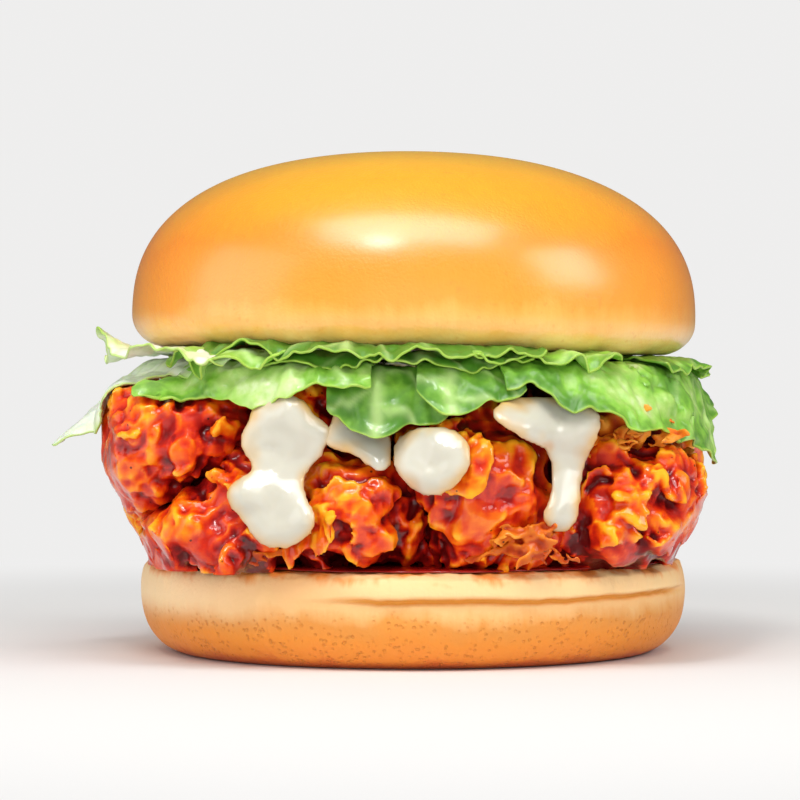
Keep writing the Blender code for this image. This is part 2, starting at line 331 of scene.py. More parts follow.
def normals_of(piece):
    normals = np.empty(len(piece.data.vertices) * 3)
    piece.data.vertices.foreach_get("normal", normals)
    return normals.reshape(-1, 3)


def move_points(piece, points):
    piece.data.vertices.foreach_set("co", np.ascontiguousarray(points).ravel())
    piece.data.update()


def add_layer(piece, name, values):
    """Stores one number a point on the mesh, for its finish to read."""
    layer = piece.data.attributes.new(name, "FLOAT", "POINT")
    layer.data.foreach_set("value", np.asarray(values, dtype=np.float32))


def eased(values, low, high):
    share = np.clip((values - low) / (high - low), 0, 1)
    return share * share * (3 - 2 * share)


# %% Selecting, applying, finishing
def only(piece):
    """Deselects everything, then selects this piece and makes it active."""
    bpy.ops.object.select_all(action="DESELECT")
    piece.select_set(True)
    bpy.context.view_layer.objects.active = piece


def with_modifier(piece, kind, **settings):
    """Adds a modifier, sets it and applies it."""
    only(piece)
    added = piece.modifiers.new(kind.lower(), kind)
    for setting, value in settings.items():
        setattr(added, setting, value)
    bpy.ops.object.modifier_apply(modifier=added.name)
    return piece


def new_piece(name, points, faces):
    """A piece made straight from points and faces."""
    mesh = bpy.data.meshes.new(name)
    mesh.from_pydata(points, [], faces)
    piece = bpy.data.objects.new(name, mesh)
    bpy.context.scene.collection.objects.link(piece)
    return piece


def as_pattern(sheet, thickness):
    """Gives a sheet a thickness, then takes its points and its faces and removes it."""
    with_modifier(sheet, "SOLIDIFY", thickness=thickness, offset=0)
    points = points_of(sheet)
    faces = [tuple(face.vertices) for face in sheet.data.polygons]
    bpy.data.objects.remove(sheet)
    return points, faces


def solid_copy(name, node):
    """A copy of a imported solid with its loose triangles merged, to be shaped further."""
    piece = bpy.data.objects.new(name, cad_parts[node].data.copy())
    bpy.context.scene.collection.objects.link(piece)
    piece.data.materials.clear()
    only(piece)
    bpy.ops.object.mode_set(mode="EDIT")
    bpy.ops.mesh.select_all(action="SELECT")
    bpy.ops.mesh.remove_doubles(threshold=0.00001)
    bpy.ops.object.mode_set(mode="OBJECT")
    return piece


def serve(piece, finish, slot, *nodes):
    """Gives a piece its finish, hangs it on the root body and hides the imported solids it stands for."""
    piece.data.materials.clear()
    piece.data.materials.append(finish.material)
    only(piece)
    bpy.ops.object.shade_smooth()
    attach(piece, "root")
    if nodes:
        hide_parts(*nodes)
    piece.data.calc_loop_triangles()
    print(piece.name, "triangles:", len(piece.data.loop_triangles))
    return piece


# %% [markdown]
# ## The crown
#
# A baked crown is a dome that rises almost straight from its rim and flattens on top: a superellipse. It could
# be sculpted from a ball, but its outline is what the eye reads, so a line is extruded along that outline and
# spun round the axis. Slow noise then takes away the perfect roundness, and fine noise ruffles the lower rim,
# where the crust was sliced from the crumb.

# %% A line extruded point by point, then spun
def spun(name, outline, steps):
    """A closed solid: a line through (radius, height) points, from axis to axis, spun round Z."""
    bpy.ops.object.select_all(action="DESELECT")
    bpy.ops.mesh.primitive_plane_add(size=0.001)
    piece = bpy.context.object
    piece.name = name
    bpy.ops.object.mode_set(mode="EDIT")
    bpy.ops.mesh.merge(type="CENTER")
    bpy.ops.transform.translate(value=(outline[0][0], 0, outline[0][1]))
    for (radius, height), (next_radius, next_height) in zip(outline, outline[1:]):
        step = (next_radius - radius, 0, next_height - height)
        bpy.ops.mesh.extrude_region_move(TRANSFORM_OT_translate={"value": step})
    bpy.ops.mesh.select_all(action="SELECT")
    bpy.ops.mesh.spin(steps=steps, angle=2 * math.pi, center=(0, 0, 0), axis=(0, 0, 1))
    bpy.ops.mesh.select_all(action="SELECT")
    bpy.ops.mesh.remove_doubles(threshold=0.000005)
    bpy.ops.mesh.normals_make_consistent(inside=False)
    bpy.ops.object.mode_set(mode="OBJECT")
    return piece


def quarter(half_width, half_height, power, steps):
    """A quarter of a superellipse, from the top of its axis to its widest point."""
    angles = [math.pi / 2 * (1 - i / steps) for i in range(steps + 1)]
    return [
        (half_width * abs(math.cos(a)) ** (2 / power), half_height * math.sin(a) ** (2 / power)) for a in angles
    ]


# %% Crown shape
CROWN_TILT = math.radians(1.0)
CROWN_WIDEST = 6.3 * MM  # height of the widest ring above the rim
CROWN_INSET = 6.5 * MM  # how far the rim curls in
CROWN_POWER = 2.4

low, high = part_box("bun_crown")
crown_radius = (high.y - low.y) / 2
crown_base = (low.z + crown_radius * math.tan(CROWN_TILT) * 0.88) + 0.0001
crown_rise = high.z - crown_base
print("crown radius", round(crown_radius, 4), "base", round(crown_base, 4))

dome = quarter(crown_radius, crown_rise - CROWN_WIDEST, CROWN_POWER, 16)
rim = quarter(CROWN_INSET, CROWN_WIDEST, 2, 6)
crown_outline = [(0, crown_rise)] + [(r, CROWN_WIDEST + z) for r, z in dome[1:]]
crown_outline += [(crown_radius - CROWN_INSET + r, CROWN_WIDEST - z) for r, z in reversed(rim[:-1])]
crown_outline += [(crown_radius * share, 0) for share in (0.75, 0.4, 0)]
crown = spun("bun_top", crown_outline, 36)
with_modifier(crown, "SUBSURF", levels=2, render_levels=2)

# %% Crown unevenness
points = points_of(crown)
radial = points * [1, 1, 0]
radial /= np.maximum(np.linalg.norm(radial, axis=1), 1e-6)[:, None]
near_rim = 1 - eased(points[:, 2], 0.5 * MM, 7 * MM)
outer = eased(np.hypot(points[:, 0], points[:, 1]), 0.75 * crown_radius, 0.9 * crown_radius)
slow = noise_at(points, 42 * MM, 3)
ragged = noise_at(points * [1, 1, 0.4], 4 * MM, 5) + 0.5 * noise_at(points * [1, 1, 0.4], 1.7 * MM, 6)
wavy = noise_at(points, 15 * MM, 8)
points += normals_of(crown) * (0.35 * MM * slow - 0.3 * MM)[:, None]
points[:, 2] += near_rim * outer * (0.28 * ragged + 0.35 * wavy) * MM
points += radial * (near_rim * outer * (0.22 * ragged) * MM)[:, None]
move_points(crown, points)
crown.data.transform(Matrix.Translation((0, 0, crown_base)) @ Matrix.Rotation(CROWN_TILT, 4, "Y"))

# %% [markdown]
# ### Glazed crust
#
# The glaze browns most where the crown faces up and out, and stays pale in a band just above the rim, where
# the dough was last to rise. The crust colour is therefore a ramp over height, pushed about by noise, with
# faint upright streaks in the pale band. Over it lies a clear coat, which is what gives an egg wash its broad,
# slightly grainy shine.

# %% Crown finish
glaze = Finish("glazed_crust", Roughness=0.42, Coat_Weight=1.0, Coat_Roughness=0.27, Subsurface_Weight=0.1)
glaze.feed(Subsurface_Radius=(0.003, 0.0015, 0.0008), Subsurface_Scale=0.002, Coat_IOR=1.65)
x, y, z = glaze.axes()
blotches = glaze.noise(16 * MM, detail=3)
streaks = glaze.noise(2.2 * MM, detail=3, stretch=(1, 1, 4.5))
level = (z - crown_base) * (1 / crown_rise) + (blotches - 0.5) * 0.16 + (streaks - 0.5) * 0.10
crust = glaze.ramp(
    level,
    [
        (0.02, (255, 208, 124)),
        (0.10, (255, 188, 86)),
        (0.22, (251, 158, 36)),
        (0.50, (245, 142, 10)),
        (0.80, (248, 170, 14)),
        (1.0, (251, 190, 28)),
    ],
)
fine_grain = glaze.noise(0.55 * MM, detail=2)
speckle = glaze.noise(1.3 * MM, detail=3, shift=3.0).between(0.60, 0.74)
glaze.feed(Base_Color=glaze.blend(speckle * 0.25, crust, linear(232, 132, 30)))
glaze.feed(Roughness=0.36 + 0.16 * glaze.noise(9 * MM, shift=1.0))
pores = glaze.noise(2.4 * MM, detail=3, shift=5.0)
glaze.bump(fine_grain * 0.7 + pores * 0.6, 0.16 * MM)
serve(crown, glaze, "crown_crust", "bun_crown")


# %% [markdown]
# ## The heel
#
# The lower half of the bun is a thick disc with a rounded foot. On its right front the sliced top edge has
# slipped out over the side and makes a lip with a crease under it. The disc is spun like the crown, then the
# lip, the crease, upright wrinkles and a torn top edge are pushed in by code, each inside a soft mask, because
# a mask in angle and height is easier to place than faces picked by hand.

# %% Heel shape
HEEL_BELLY = 11.5 * MM
HEEL_TOP_INSET = 2.0 * MM
HEEL_FOOT_INSET = 8.5 * MM
LIP_Z = 12.7 * MM
LIP_FROM, LIP_TO = 244, 352  # degrees round from +X; 270 faces the front

low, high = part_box("bun_heel")
heel_radius = (high.y - low.y) / 2
heel_top = high.z
shoulder = quarter(HEEL_TOP_INSET, heel_top - HEEL_BELLY, 2.2, 7)
foot = quarter(HEEL_FOOT_INSET, HEEL_BELLY, 2.1, 9)
heel_outline = [(heel_radius * share, heel_top) for share in (0, 0.35, 0.7, 0.9)]
heel_outline += [(heel_radius - HEEL_TOP_INSET + r, HEEL_BELLY + z) for r, z in shoulder]
heel_outline += [(heel_radius - HEEL_FOOT_INSET + r, HEEL_BELLY - z) for r, z in reversed(foot[:-1])]
heel_outline += [(heel_radius * share, 0) for share in (0.7, 0.35, 0)]
heel = spun("bun_base", heel_outline, 48)
with_modifier(heel, "SUBSURF", levels=3, render_levels=3)

# %% Heel lip, crease and wrinkles
points = points_of(heel)
radius = np.maximum(np.hypot(points[:, 0], points[:, 1]), 1e-6)
azimuth = np.degrees(np.arctan2(points[:, 1], points[:, 0])) % 360
radial = points * [1, 1, 0] / radius[:, None]
height = points[:, 2]
side = eased(radius, 0.80 * heel_radius, 0.93 * heel_radius)
lip_here = eased(azimuth, LIP_FROM, LIP_FROM + 22) * (1 - eased(azimuth, LIP_TO - 20, LIP_TO))
flat = points * [1, 1, 0]
line = LIP_Z + 0.55 * MM * noise_at(flat, 9 * MM, 11) + 0.2 * MM * noise_at(flat, 2.5 * MM, 12)
over = eased(height, line - 0.30 * MM, line + 0.45 * MM)
groove = np.exp(-(((height - line + 0.45 * MM) / (0.55 * MM)) ** 2))
under = np.exp(-(((height - line + 1.8 * MM) / (1.9 * MM)) ** 2))
lip_push = 0.75 * over * (1 - eased(height, heel_top - 1.3 * MM, heel_top)) - 1.05 * groove - 0.65 * under
push = lip_here * side * lip_push
wrinkles = noise_at(points * [1, 1, 0.16], 1.9 * MM, 13) * eased(height, 9 * MM, 14 * MM) * side
torn = noise_at(flat, 2.2 * MM, 14) + 0.6 * noise_at(flat, 0.9 * MM, 15)
top_edge = side * eased(height, heel_top - 1.5 * MM, heel_top - 0.3 * MM)
slow = noise_at(points, 26 * MM, 16)
dents = noise_at(points, 5 * MM, 17) * (1 - eased(height, 9 * MM, 13 * MM)) * eased(height, 0.5 * MM, 3 * MM)
push = push + 0.24 * wrinkles + side * (0.45 * slow + 0.10 * dents) + 0.25 * top_edge * torn
points += radial * (push * MM)[:, None]
points[:, 2] += top_edge * 0.30 * MM * torn - 0.1 * MM * top_edge
move_points(heel, points)
add_layer(heel, "crease", lip_here * side * groove)
add_layer(heel, "lip", lip_here * side * over)

# %% [markdown]
# ### Heel crust
#
# The heel is cream where it was covered and gold to brown where it stood on the hot tray. The lower half is
# full of small pits. Sauce has run down from the top edge in places. The crease under the lip is darker,
# which is painted shade. All of it is a ramp over height with noise added to the height, plus masks for the
# pits and the stains.

# %% Heel finish
bread = Finish("heel_crust", Coat_Weight=0.12, Coat_Roughness=0.3, Subsurface_Weight=0.12)
bread.feed(Subsurface_Radius=(0.003, 0.0018, 0.001), Subsurface_Scale=0.002)
x, y, z = bread.axes()
blotches = bread.noise(9 * MM, detail=3)
streaks = bread.noise(1.5 * MM, detail=3, stretch=(1, 1, 6), shift=2.0)
level = z * (1 / heel_top) + (blotches - 0.5) * 0.34 + (streaks - 0.5) * 0.12
crust = bread.ramp(
    level,
    [
        (0.0, (214, 104, 34)),
        (0.10, (238, 142, 44)),
        (0.30, (236, 146, 44)),
        (0.48, (226, 148, 60)),
        (0.64, (238, 188, 122)),
        (0.85, (246, 194, 132)),
        (1.0, (248, 194, 126)),
    ],
)
left_pale = (0 - x).between(18 * MM, 46 * MM) * z.between(6 * MM, 12 * MM)
crust = bread.blend(left_pale * 0.75, crust, linear(254, 226, 178))
base_line = 1 - z.between(0.2 * MM, 1.9 * MM)
pit_zone = 1 - (z + (blotches - 0.5) * 6 * MM).between(7.5 * MM, 11 * MM)
pit_spots = 1 - bread.cells(1.0 * MM).between(0.14, 0.40)
pits = pit_spots * pit_zone * bread.noise(3 * MM, shift=4.0).between(0.36, 0.54)
crust = bread.blend(pits * 0.5, crust, linear(222, 132, 30))
crust = bread.blend(base_line * 0.75, crust, linear(206, 92, 38))
crease, lip = bread.attribute("crease"), bread.attribute("lip")
crust = bread.blend(lip * 0.6, crust, linear(252, 220, 162))
# painted shade: the crease under the lip is coloured a darker yellow
crust = bread.blend(crease.between(0.25, 0.9) * 0.9, crust, linear(222, 150, 48))
stain_zone = (z + (streaks - 0.5) * 3.0 * MM).between(14.6 * MM, 16.8 * MM)
stains = stain_zone * bread.noise(7 * MM, detail=3, shift=6.0).between(0.44, 0.58)
bread.feed(Base_Color=bread.blend(stains * 0.85, crust, linear(240, 136, 34)))
bread.feed(Roughness=0.52 + 0.2 * blotches)
bread.bump(bread.noise(0.7 * MM, detail=3, shift=7.0) * 0.4 + streaks * 0.8 - pits * 0.9, 0.26 * MM)
serve(heel, bread, "heel_crust", "bun_heel")


# %% [markdown]
# ## Fried chicken
#
# Batter fries into flaps and folds that curl over each other, and hot sauce then fills the folds. Noise alone
# can't curl over itself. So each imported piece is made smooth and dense, pushed into lumps, and covered with
# curled flaps of batter. Those are modelled once as a few patterns and copied, turned and tilted all over it. A
# voxel remesh melts piece and flaps into one skin, and a little smoothing makes it look coated.

# %% Patterns for a flap of batter
FLAP_PATTERNS = 7


def flap_pattern(seed):
    """A ragged, curled flap about one unit across, lying in XY: its points and its faces."""
    bpy.ops.object.select_all(action="DESELECT")
    bpy.ops.mesh.primitive_grid_add(x_subdivisions=12, y_subdivisions=12, size=2)
    flap = bpy.context.object
    points = points_of(flap)
    across, along = points[:, 0].copy(), points[:, 1].copy()
    points[:, 0] = across * np.sqrt(1 - along**2 / 2)  # square to disc
    points[:, 1] = along * np.sqrt(1 - across**2 / 2)
    angle = np.arctan2(points[:, 1], points[:, 0])
    rim = np.stack([np.cos(angle), np.sin(angle), 0 * angle], axis=1)
    reach = 0.5 * (1 + 0.28 * noise_at(rim, 0.9, seed) + 0.10 * noise_at(rim, 0.35, seed + 40))
    points[:, 0] *= reach
    points[:, 1] *= reach * 0.78
    far = np.hypot(points[:, 0], points[:, 1])
    curl = 0.25 * points[:, 0] ** 2 + 0.35 * points[:, 1] ** 2
    points[:, 2] = curl + 0.26 * noise_at(points, 0.5, seed + 80) * (0.4 + 2 * far)
    move_points(flap, points)
    return as_pattern(flap, 0.15)


flaps = [flap_pattern(seed) for seed in range(FLAP_PATTERNS)]
print("flap patterns:", len(flaps), "faces each:", len(flaps[0][1]))


# %% Laying flaps over a piece
def spots_on(piece, count, dice, wanted):
    """Random places on a piece, spread by area, with their normals, kept where wanted(place) is true."""
    piece.data.calc_loop_triangles()
    triangles = piece.data.loop_triangles
    areas = np.array([t.area for t in triangles])
    spots = []
    for choice in dice.choice(len(areas), size=count * 12, p=areas / areas.sum()):
        place = Vector(triangles[choice].center)
        if len(spots) < count and wanted(place):
            spots.append((place, Vector(triangles[choice].normal)))
    return spots


def turned_to(normal, turn):
    """A rotation that lays a pattern flat on a surface, turned about the surface's normal."""
    upright = normal.to_track_quat("Z", "Y").to_matrix()
    return np.array(upright @ Matrix.Rotation(turn, 3, "Z"))


def lay(piece, patterns, placings):
    """One mesh of many patterns bent to the surface of a piece: (pattern, place, rotation, size, slant, lift)."""
    own = points_of(piece)
    tree = BVHTree.FromPolygons(own.tolist(), [tuple(face.vertices) for face in piece.data.polygons])
    points, faces = [], []
    for pattern, place, rotation, size, slant, lift in placings:
        shape, shape_faces = patterns[pattern % len(patterns)]
        start = len(points)
        flat = (shape * [size, size, 0]) @ rotation.T + np.array(place)
        heights = size * (shape[:, 2] + slant * shape[:, 0]) + lift
        for spot, height in zip(flat, heights):
            on, normal, _, _ = tree.find_nearest(Vector(spot))
            points.append(on + normal * height)
        faces += [tuple(start + i for i in face) for face in shape_faces]
    return new_piece("skin", points, faces)


# %% Relaxing points, to find ridges and hollows
def relaxed(piece, points, rounds):
    """The points after each has moved towards the middle of its neighbours, many times over."""
    ends = np.empty(len(piece.data.edges) * 2, dtype=np.int32)
    piece.data.edges.foreach_get("vertices", ends)
    first, second = ends.reshape(-1, 2).T
    total = len(points)
    count = np.maximum(np.bincount(first, minlength=total) + np.bincount(second, minlength=total), 1)
    for _ in range(rounds):
        sums = [
            np.bincount(first, weights=points[second, k], minlength=total)
            + np.bincount(second, weights=points[first, k], minlength=total)
            for k in range(3)
        ]
        points = 0.3 * points + 0.7 * np.stack(sums, axis=1) / count[:, None]
    return points


def add_relief(piece):
    """Stores how far each point stands out, in millimetres, against its near and its wider surroundings."""
    points, normals = points_of(piece), normals_of(piece)
    near = relaxed(piece, points, 10)
    wide = relaxed(piece, near, 60)
    add_layer(piece, "ridge", np.sum((points - near) * normals, axis=1) / MM)
    add_layer(piece, "hill", np.sum((points - wide) * normals, axis=1) / MM)


# %% Crusted pieces
ROUGH_VOXEL = 1.2 * MM
VOXEL = 0.52 * MM
BACK_VOXEL = 0.75 * MM
HIDDEN_RADIUS = 24 * MM  # nothing shows nearer to the axis, so no flap is laid there
FLAP_SIZES = (6, 13)
FLAP_SLANTS = (0.02, 0.34)
FLAP_LIFT = 0.4 * MM
CRAG_HEIGHT = 0.62 * MM
CHICKEN_FLOOR = heel_top - 0.2 * MM
CHICKEN_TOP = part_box("chicken_front_left_upper")[1].z - 1.5 * MM
TOP_GIVE = 3.0 * MM  # how far batter may rise above that before the leaves hold it down
FOOT_REACH = 49.5 * MM  # how far to the side the filling reaches where it stands on the heel
WAIST_REACH = 54.5 * MM
FULL_REACH = 58.5 * MM
FRONT_SHARE, BACK_SHARE = 0.62, 1.04  # how much of its depth counts in that reach


def reached(points):
    """Points pulled in towards the axis where they stand out too far for their height."""
    height = points[:, 2] - heel_top
    limit = FOOT_REACH + (WAIST_REACH - FOOT_REACH) * eased(height, 0, 11 * MM)
    limit += (FULL_REACH - WAIST_REACH) * eased(height, 11 * MM, 18 * MM)
    depth_share = np.where(points[:, 1] < 0, FRONT_SHARE, BACK_SHARE)
    radius = np.hypot(points[:, 0], depth_share * points[:, 1])
    beyond = np.maximum(radius - limit, 0)
    share = (radius - 0.75 * beyond) / np.maximum(radius, 1e-6)
    return points * np.stack([share, share, np.ones(len(points))], axis=1)


def crusted(node, seed, flap_count, voxel):
    """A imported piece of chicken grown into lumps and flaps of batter."""
    piece = solid_copy(node.replace("chicken", "crust"), node)
    with_modifier(piece, "REMESH", mode="VOXEL", voxel_size=ROUGH_VOXEL)
    with_modifier(piece, "SMOOTH", factor=0.5, iterations=8)
    points, normals = points_of(piece), normals_of(piece)
    lumps = 1.5 - 3.4 * np.abs(noise_at(points, 13 * MM, seed))
    warped = points + 2.2 * MM * noises_at(points, 7 * MM, seed + 5)
    folds = 1 - 2.6 * np.abs(noise_at(warped, 7 * MM, seed + 9))
    move_points(piece, points + normals * ((1.5 * lumps + 1.3 * folds - 1.9) * MM)[:, None])
    dice = np.random.default_rng(seed)
    placings = []
    for place, normal in spots_on(piece, flap_count, dice, lambda place: place.xy.length > HIDDEN_RADIUS):
        size = dice.uniform(*FLAP_SIZES) * MM
        rotation = turned_to(normal, dice.uniform(0, 2 * math.pi))
        placings.append((int(dice.integers(99)), place, rotation, size, dice.uniform(*FLAP_SLANTS), FLAP_LIFT))
    skin = lay(piece, flaps, placings)
    only(piece)
    skin.select_set(True)
    bpy.ops.object.join()
    with_modifier(piece, "REMESH", mode="VOXEL", voxel_size=voxel)
    with_modifier(piece, "SMOOTH", factor=0.5, iterations=3)
    points, normals = points_of(piece), normals_of(piece)
    dry = eased(noise_at(points, 11 * MM, seed + 30), -0.25, 0.35)
    warped = points + 0.9 * MM * noises_at(points, 2.6 * MM, seed + 20)
    crags = 0.6 - 2.2 * np.abs(noise_at(warped, 3.0 * MM, seed + 24))
    crags = crags + 0.35 * noise_at(points, 1.3 * MM, seed + 21)
    points = reached(points + normals * (CRAG_HEIGHT * crags * (0.35 + 0.65 * dry))[:, None])
    above = np.maximum(points[:, 2] - CHICKEN_TOP, 0)
    points[:, 2] = np.maximum(points[:, 2] - above + TOP_GIVE * (1 - np.exp(-above / TOP_GIVE)), CHICKEN_FLOOR)
    move_points(piece, points)
    add_relief(piece)
    return piece


# %% How deep a point lies between the pieces, for painted shade
GAP_DEPTH = 12 * MM
SECTORS = 120  # cells round the burger
ROWS = 40  # cells over its height
ROW_HEIGHT = 2 * MM


def add_gap_shade(pieces):
    """Stores how far each point lies behind the outermost batter near it, 0 to 1 for 0 to GAP_DEPTH, for painted
    shade.
    """
    parts = [points_of(piece) for piece in pieces]
    points = np.concatenate(parts)
    azimuth = np.degrees(np.arctan2(points[:, 1], points[:, 0])) % 360
    turns = (azimuth / (360 / SECTORS)).astype(int) % SECTORS
    rows = np.clip((points[:, 2] / ROW_HEIGHT).astype(int), 0, ROWS - 1)
    radius = np.hypot(points[:, 0], points[:, 1])
    outer = np.zeros((SECTORS, ROWS))
    np.maximum.at(outer, (turns, rows), radius)
    for _ in range(2):
        around = [np.roll(outer, shift, (0, 1)) for shift in itertools.product((-1, 0, 1), repeat=2)]
        outer = np.maximum(outer, np.mean(around, axis=0))
    depth = np.clip((outer[turns, rows] - radius) / GAP_DEPTH, 0, 1)
    start = 0
    for piece, part in zip(pieces, parts):
        add_layer(piece, "depth", depth[start : start + len(part)])
        start += len(part)


# %% [markdown]
# ### Sauced crust
#
# The batter is bright orange where it stands out and the sauce has run off it, and red where the sauce lies in
# the folds. It is darkest deep in the hollows and between the pieces, which is painted shade over the sauce's red.
# The mesh carries three numbers for that: how far a point stands out against its near and its wider
# surroundings, and how deep it lies between the pieces. Slow noise joins in. The sauce is wet, so it has a
# clear coat that comes and goes softly. Pepper shows as sparse black specks.

# %% Sauced crust finish
SAUCE_STOPS = [
    (0.0, (92, 6, 8)),
    (0.20, (152, 15, 10)),
    (0.38, (200, 36, 8)),
    (0.56, (226, 72, 6)),
    (0.76, (241, 118, 8)),
    (1.0, (251, 172, 30)),
]
CRISP_STOPS = [
    (0.0, (78, 12, 6)),
    (0.25, (140, 34, 10)),
    (0.50, (188, 68, 14)),
    (0.75, (222, 118, 26)),
    (1.0, (240, 160, 56)),
]


def sauced(name, stops, wetness):
    """A crust finish whose colour runs from sauce in the hollows to batter on the ridges, with painted shade deep
    in the hollows and between the pieces.
    """
    made = Finish(name, Coat_Roughness=0.05, Subsurface_Weight=0.08, Subsurface_Scale=0.0012)
    made.feed(Specular_IOR_Level=0.18, Subsurface_Radius=(0.002, 0.0007, 0.0003))
    ridge, hill, depth = (made.attribute(layer) for layer in ("ridge", "hill", "depth"))
    height = made.axes()[2]
    foot = 1 - height.between(heel_top, heel_top + 9 * MM)
    patches = made.noise(11 * MM, detail=2)
    mottle = made.noise(2.0 * MM, detail=3, shift=2.0)
    stand = 0.60 + ridge * 0.60 + hill * 0.16 + (patches - 0.5) * 1.0 + (mottle - 0.5) * 0.25
    # painted shade: the colour darkens in the wider hollows and where points lie deep between the pieces; foot
    # makes it redder and darker near the heel
    crust = made.ramp(stand - depth * 0.8 - foot * 0.26, stops)
    specks = 1 - made.cells(3.4 * MM, shift=1.0).between(0.055, 0.085)
    made.feed(Base_Color=made.blend(specks * 0.85, crust, linear(40, 12, 8)))
    wet = made.noise(5 * MM, detail=2, shift=5.0).between(0.38, 0.60)
    made.feed(Roughness=0.52 - 0.20 * wet, Coat_Weight=wetness * (0.10 + 0.90 * wet))
    made.bump(made.noise(1.0 * MM, detail=2, shift=3.0) * 0.6 + mottle * 0.4, 0.12 * MM)
    return made


sauce_finish = sauced("sauced_crust", SAUCE_STOPS, 0.9)
crisp_finish = sauced("crisp_crust", CRISP_STOPS, 0.35)

# %% All the chicken
CHICKEN = {
    "front_left_upper": 38,
    "front_left_lower": 38,
    "front_middle_upper": 26,
    "front_middle_lower": 28,
    "front_centre": 38,
    "top_centre": 20,
    "front_right_lower": 38,
    "front_right_upper": 34,
    "right_middle": 26,
    "back_right": 34,
    "back_middle": 26,
    "back_left": 32,
    "left_middle": 22,
}
CRISP_PARTS = ("front_right_upper", "top_centre")
crusts = []
for number, (part, flap_count) in enumerate(CHICKEN.items()):
    voxel = VOXEL if part.startswith(("front", "top")) else BACK_VOXEL
    crusts.append(crusted("chicken_" + part, 100 + 37 * number, flap_count, voxel))
add_gap_shade(crusts)
for piece, part in zip(crusts, CHICKEN):
    serve(piece, crisp_finish if part in CRISP_PARTS else sauce_finish, "sauced_crust", "chicken_" + part)


# %% [markdown]
# ## Lettuce
#
# A leaf grows faster at its rim than at its heart, so the rim has nowhere to go but up and down: that is what
# makes ruffles. Each leaf here is a dense grid laid out row by row from under the crown to its rim. The
# direction in which it is laid swings more and more towards the rim, which makes the ruffles without
# stretching the leaf. Then it is pushed clear of the chicken, given veins and puckers, and a thickness.

# %% One tree to keep leaves and sauce clear of the chicken
def tree_of(pieces, above):
    """A search tree of all faces whose first corner is above a height."""
    points, faces = [], []
    start = 0
    for piece in pieces:
        own = points_of(piece)
        corners = np.empty(len(piece.data.loops), dtype=np.int32)
        piece.data.loops.foreach_get("vertex_index", corners)
        quads = corners.reshape(-1, 4)
        quads = quads[own[quads[:, 0], 2] > above]
        points.append(own)
        faces.append(quads + start)
        start += len(own)
    return BVHTree.FromPolygons(np.concatenate(points).tolist(), np.concatenate(faces).tolist())


crust_tree = tree_of(crusts, 18 * MM)


INSIDE_LIMIT = 3 * MM  # points deeper in the chicken than this are left for draping


def kept_clear(points, gap):
    """Points nearer than the gap to the chicken, or just inside it, are moved out along its surface's normal."""
    moved = points.copy()
    for index, point in enumerate(points):
        place, normal, _, distance = crust_tree.find_nearest(Vector(point))
        offset = Vector(point) - place
        if distance < gap or (distance < INSIDE_LIMIT and offset.dot(normal) < 0):
            moved[index] = place + normal * gap
    return moved


DRAPE_CENTRE = np.array([0, 0, 0.044])
OUTSIDE = 0.2  # a distance that lies beyond the whole burger


def draped_over(points, gap, most):
    """Points moved straight out from the middle of the filling until they lie outside the chicken."""
    moved = points.copy()
    for index, point in enumerate(points):
        away = point - DRAPE_CENTRE
        own = np.linalg.norm(away)
        away = Vector(away / own)
        hit = crust_tree.ray_cast(Vector(DRAPE_CENTRE) + away * OUTSIDE, -away)
        if hit[0] is not None:
            needed = OUTSIDE - hit[3] + gap
            if needed > own:
                moved[index] = DRAPE_CENTRE + np.array(away) * min(needed, own + most)
    return moved


# %% A leaf laid out row by row
LEAF_START = 33 * MM
LEAF_STEP = 0.55 * MM
LEAF_THICKNESS = 0.42 * MM
LEAF_RADIUS = 52 * MM  # where the width of a leaf is measured
FRIZZ = 0.95


def swing(along, waves, seed):
    """A wave along the leaf, 0 to 1, whose beat and height both wander."""
    line = np.stack([along * waves, along * 0 + seed, along * 0], axis=1)
    height = 0.65 + 0.75 * noise_at(line, 1.3, seed + 7)
    return height * np.sin(2 * math.pi * (waves * along + 0.8 * noise_at(line, 2.1, seed)))


